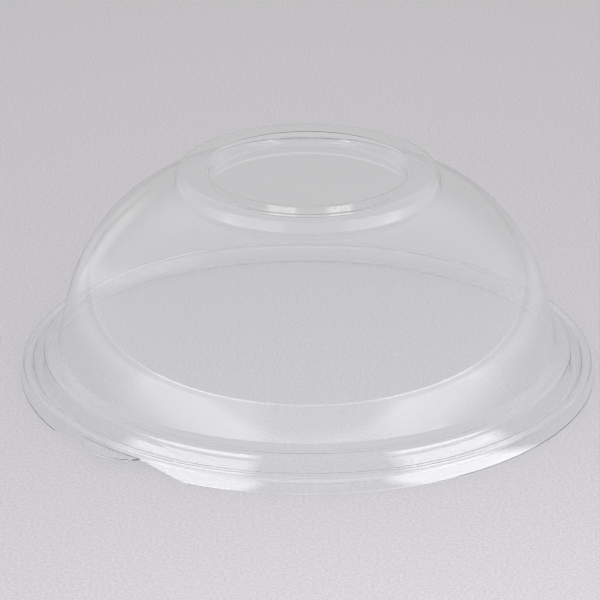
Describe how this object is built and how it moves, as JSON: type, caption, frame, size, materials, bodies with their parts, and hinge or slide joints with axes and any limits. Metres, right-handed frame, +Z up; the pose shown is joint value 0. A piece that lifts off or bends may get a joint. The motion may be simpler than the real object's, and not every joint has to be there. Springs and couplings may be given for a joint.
{
  "type": "clear plastic dome lid",
  "caption": "Tall clear dome lid for a round serving bowl, formed in one sheet, with a snap rim, a flat ledge, a raised crown with a round recess and a thumb tab.",
  "frame": {"origin": "centre of the lid at the level of the bottom edge of its rim, which it stands on", "axes": "+Z up out of the crown, along the axis of the dome; the thumb tab lies at 229 degrees from +X towards +Y"},
  "size_m": [0.2228, 0.2228, 0.0824],
  "materials": {
    "clear_plastic": "clear, smooth and glossy formed sheet"
  },
  "bodies": {
    "root": {"dome_lid": "clear_plastic"}
  },
  "joints": []
}
